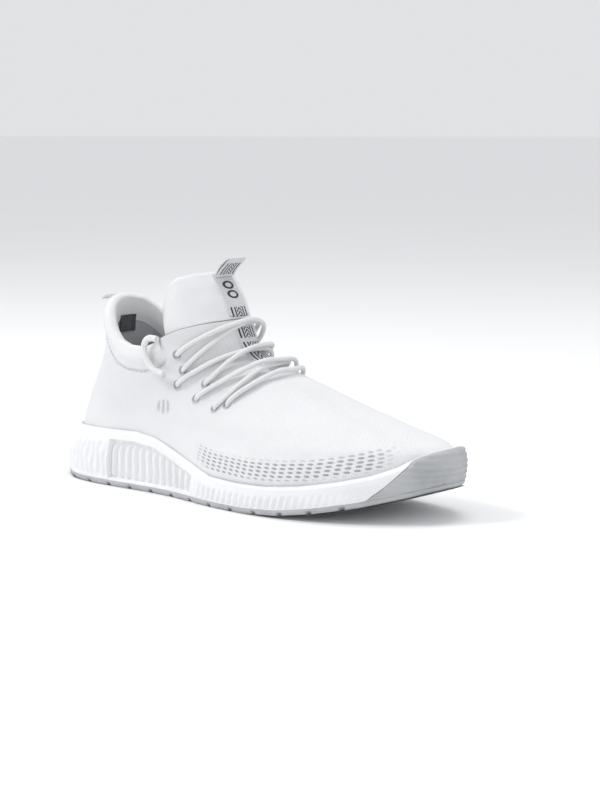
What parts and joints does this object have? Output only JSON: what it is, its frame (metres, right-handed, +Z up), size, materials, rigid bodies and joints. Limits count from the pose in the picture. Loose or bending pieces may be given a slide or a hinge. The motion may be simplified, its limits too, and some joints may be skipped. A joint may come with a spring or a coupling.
{
  "type": "running shoe",
  "caption": "Low knit running shoe for the right foot: rockered foam sole, rubber tread, sock-like padded collar, high tongue, crossed cord lace and pull loops.",
  "frame": {"origin": "centre of the bounding box on the ground, under the middle of the sole", "axes": "+X towards the toe, +Y towards the inner (medial) side of the foot, +Z up"},
  "size_m": [0.2966, 0.1003, 0.1469],
  "materials": {
    "knit_white": "matte, close engineered knit",
    "foam_white": "matte moulded foam with fine skin",
    "rubber_grey": "matte moulded rubber",
    "lining_grey": "soft brushed mesh",
    "padding_white": "open-cell padding",
    "insole_grey": "matte brushed textile over foam",
    "board_white": "felted nonwoven board",
    "stiffener_white": "matte sheet",
    "tape_grey": "ribbed woven ribbon with darker edges",
    "lace_white": "braided cord",
    "aglet_clear": "clear gloss sleeve",
    "cord_white": "braided cord",
    "label_dark": "satin heat-applied film"
  },
  "bodies": {
    "shoe": {"midsole": "foam_white", "outsole": "rubber_grey", "strobel_board": "board_white", "insole": "insole_grey", "knit_upper": "knit_white", "forefoot_lining": "lining_grey", "eyestay_lateral": "stiffener_white", "eyestay_medial": "stiffener_white", "shoelace": "lace_white", "lace_aglet_lateral": "aglet_clear", "lace_aglet_medial": "aglet_clear", "heel_counter": "stiffener_white", "collar_foam": "padding_white", "heel_lining": "lining_grey", "toe_puff": "stiffener_white", "collar_binding": "knit_white", "vamp_tape": "tape_grey", "size_label": "label_dark"},
    "tongue": {"tongue_knit": "knit_white", "tongue_foam": "padding_white", "tongue_lining": "lining_grey", "tongue_tape": "tape_grey"},
    "tongue_loop": {"tongue_pull_loop": "tape_grey"},
    "heel_tab": {"heel_pull_tab": "tape_grey"},
    "loop_lateral": {"side_loop_lateral": "cord_white"},
    "loop_medial": {"side_loop_medial": "cord_white"}
  },
  "joints": [
    {"name": "tongue_fold", "type": "hinge", "parent": "shoe", "child": "tongue", "pos_m": [-0.01, 0.004, 0.109], "axis": [0, 1, 0], "range_deg": [0, 18], "stiffness_Nm_per_rad": 0.4},
    {"name": "tongue_loop_flap", "type": "hinge", "parent": "tongue", "child": "tongue_loop", "pos_m": [-0.0218, 0.004, 0.136], "axis": [0, 1, 0], "range_deg": [-40, 35], "stiffness_Nm_per_rad": 0.01},
    {"name": "heel_tab_flap", "type": "hinge", "parent": "shoe", "child": "heel_tab", "pos_m": [-0.1095, 0.0016, 0.1176], "axis": [0, 1, 0], "range_deg": [-30, 70], "stiffness_Nm_per_rad": 0.01},
    {"name": "loop_lateral_flap", "type": "hinge", "parent": "shoe", "child": "loop_lateral", "pos_m": [-0.0414, -0.0352, 0.0865], "axis": [-0.2915, 0, 0.9566], "range_deg": [0, 100], "stiffness_Nm_per_rad": 0.01},
    {"name": "loop_medial_flap", "type": "hinge", "parent": "shoe", "child": "loop_medial", "pos_m": [-0.0414, 0.0344, 0.0865], "axis": [0.2915, 0, -0.9566], "range_deg": [0, 100], "stiffness_Nm_per_rad": 0.01}
  ]
}
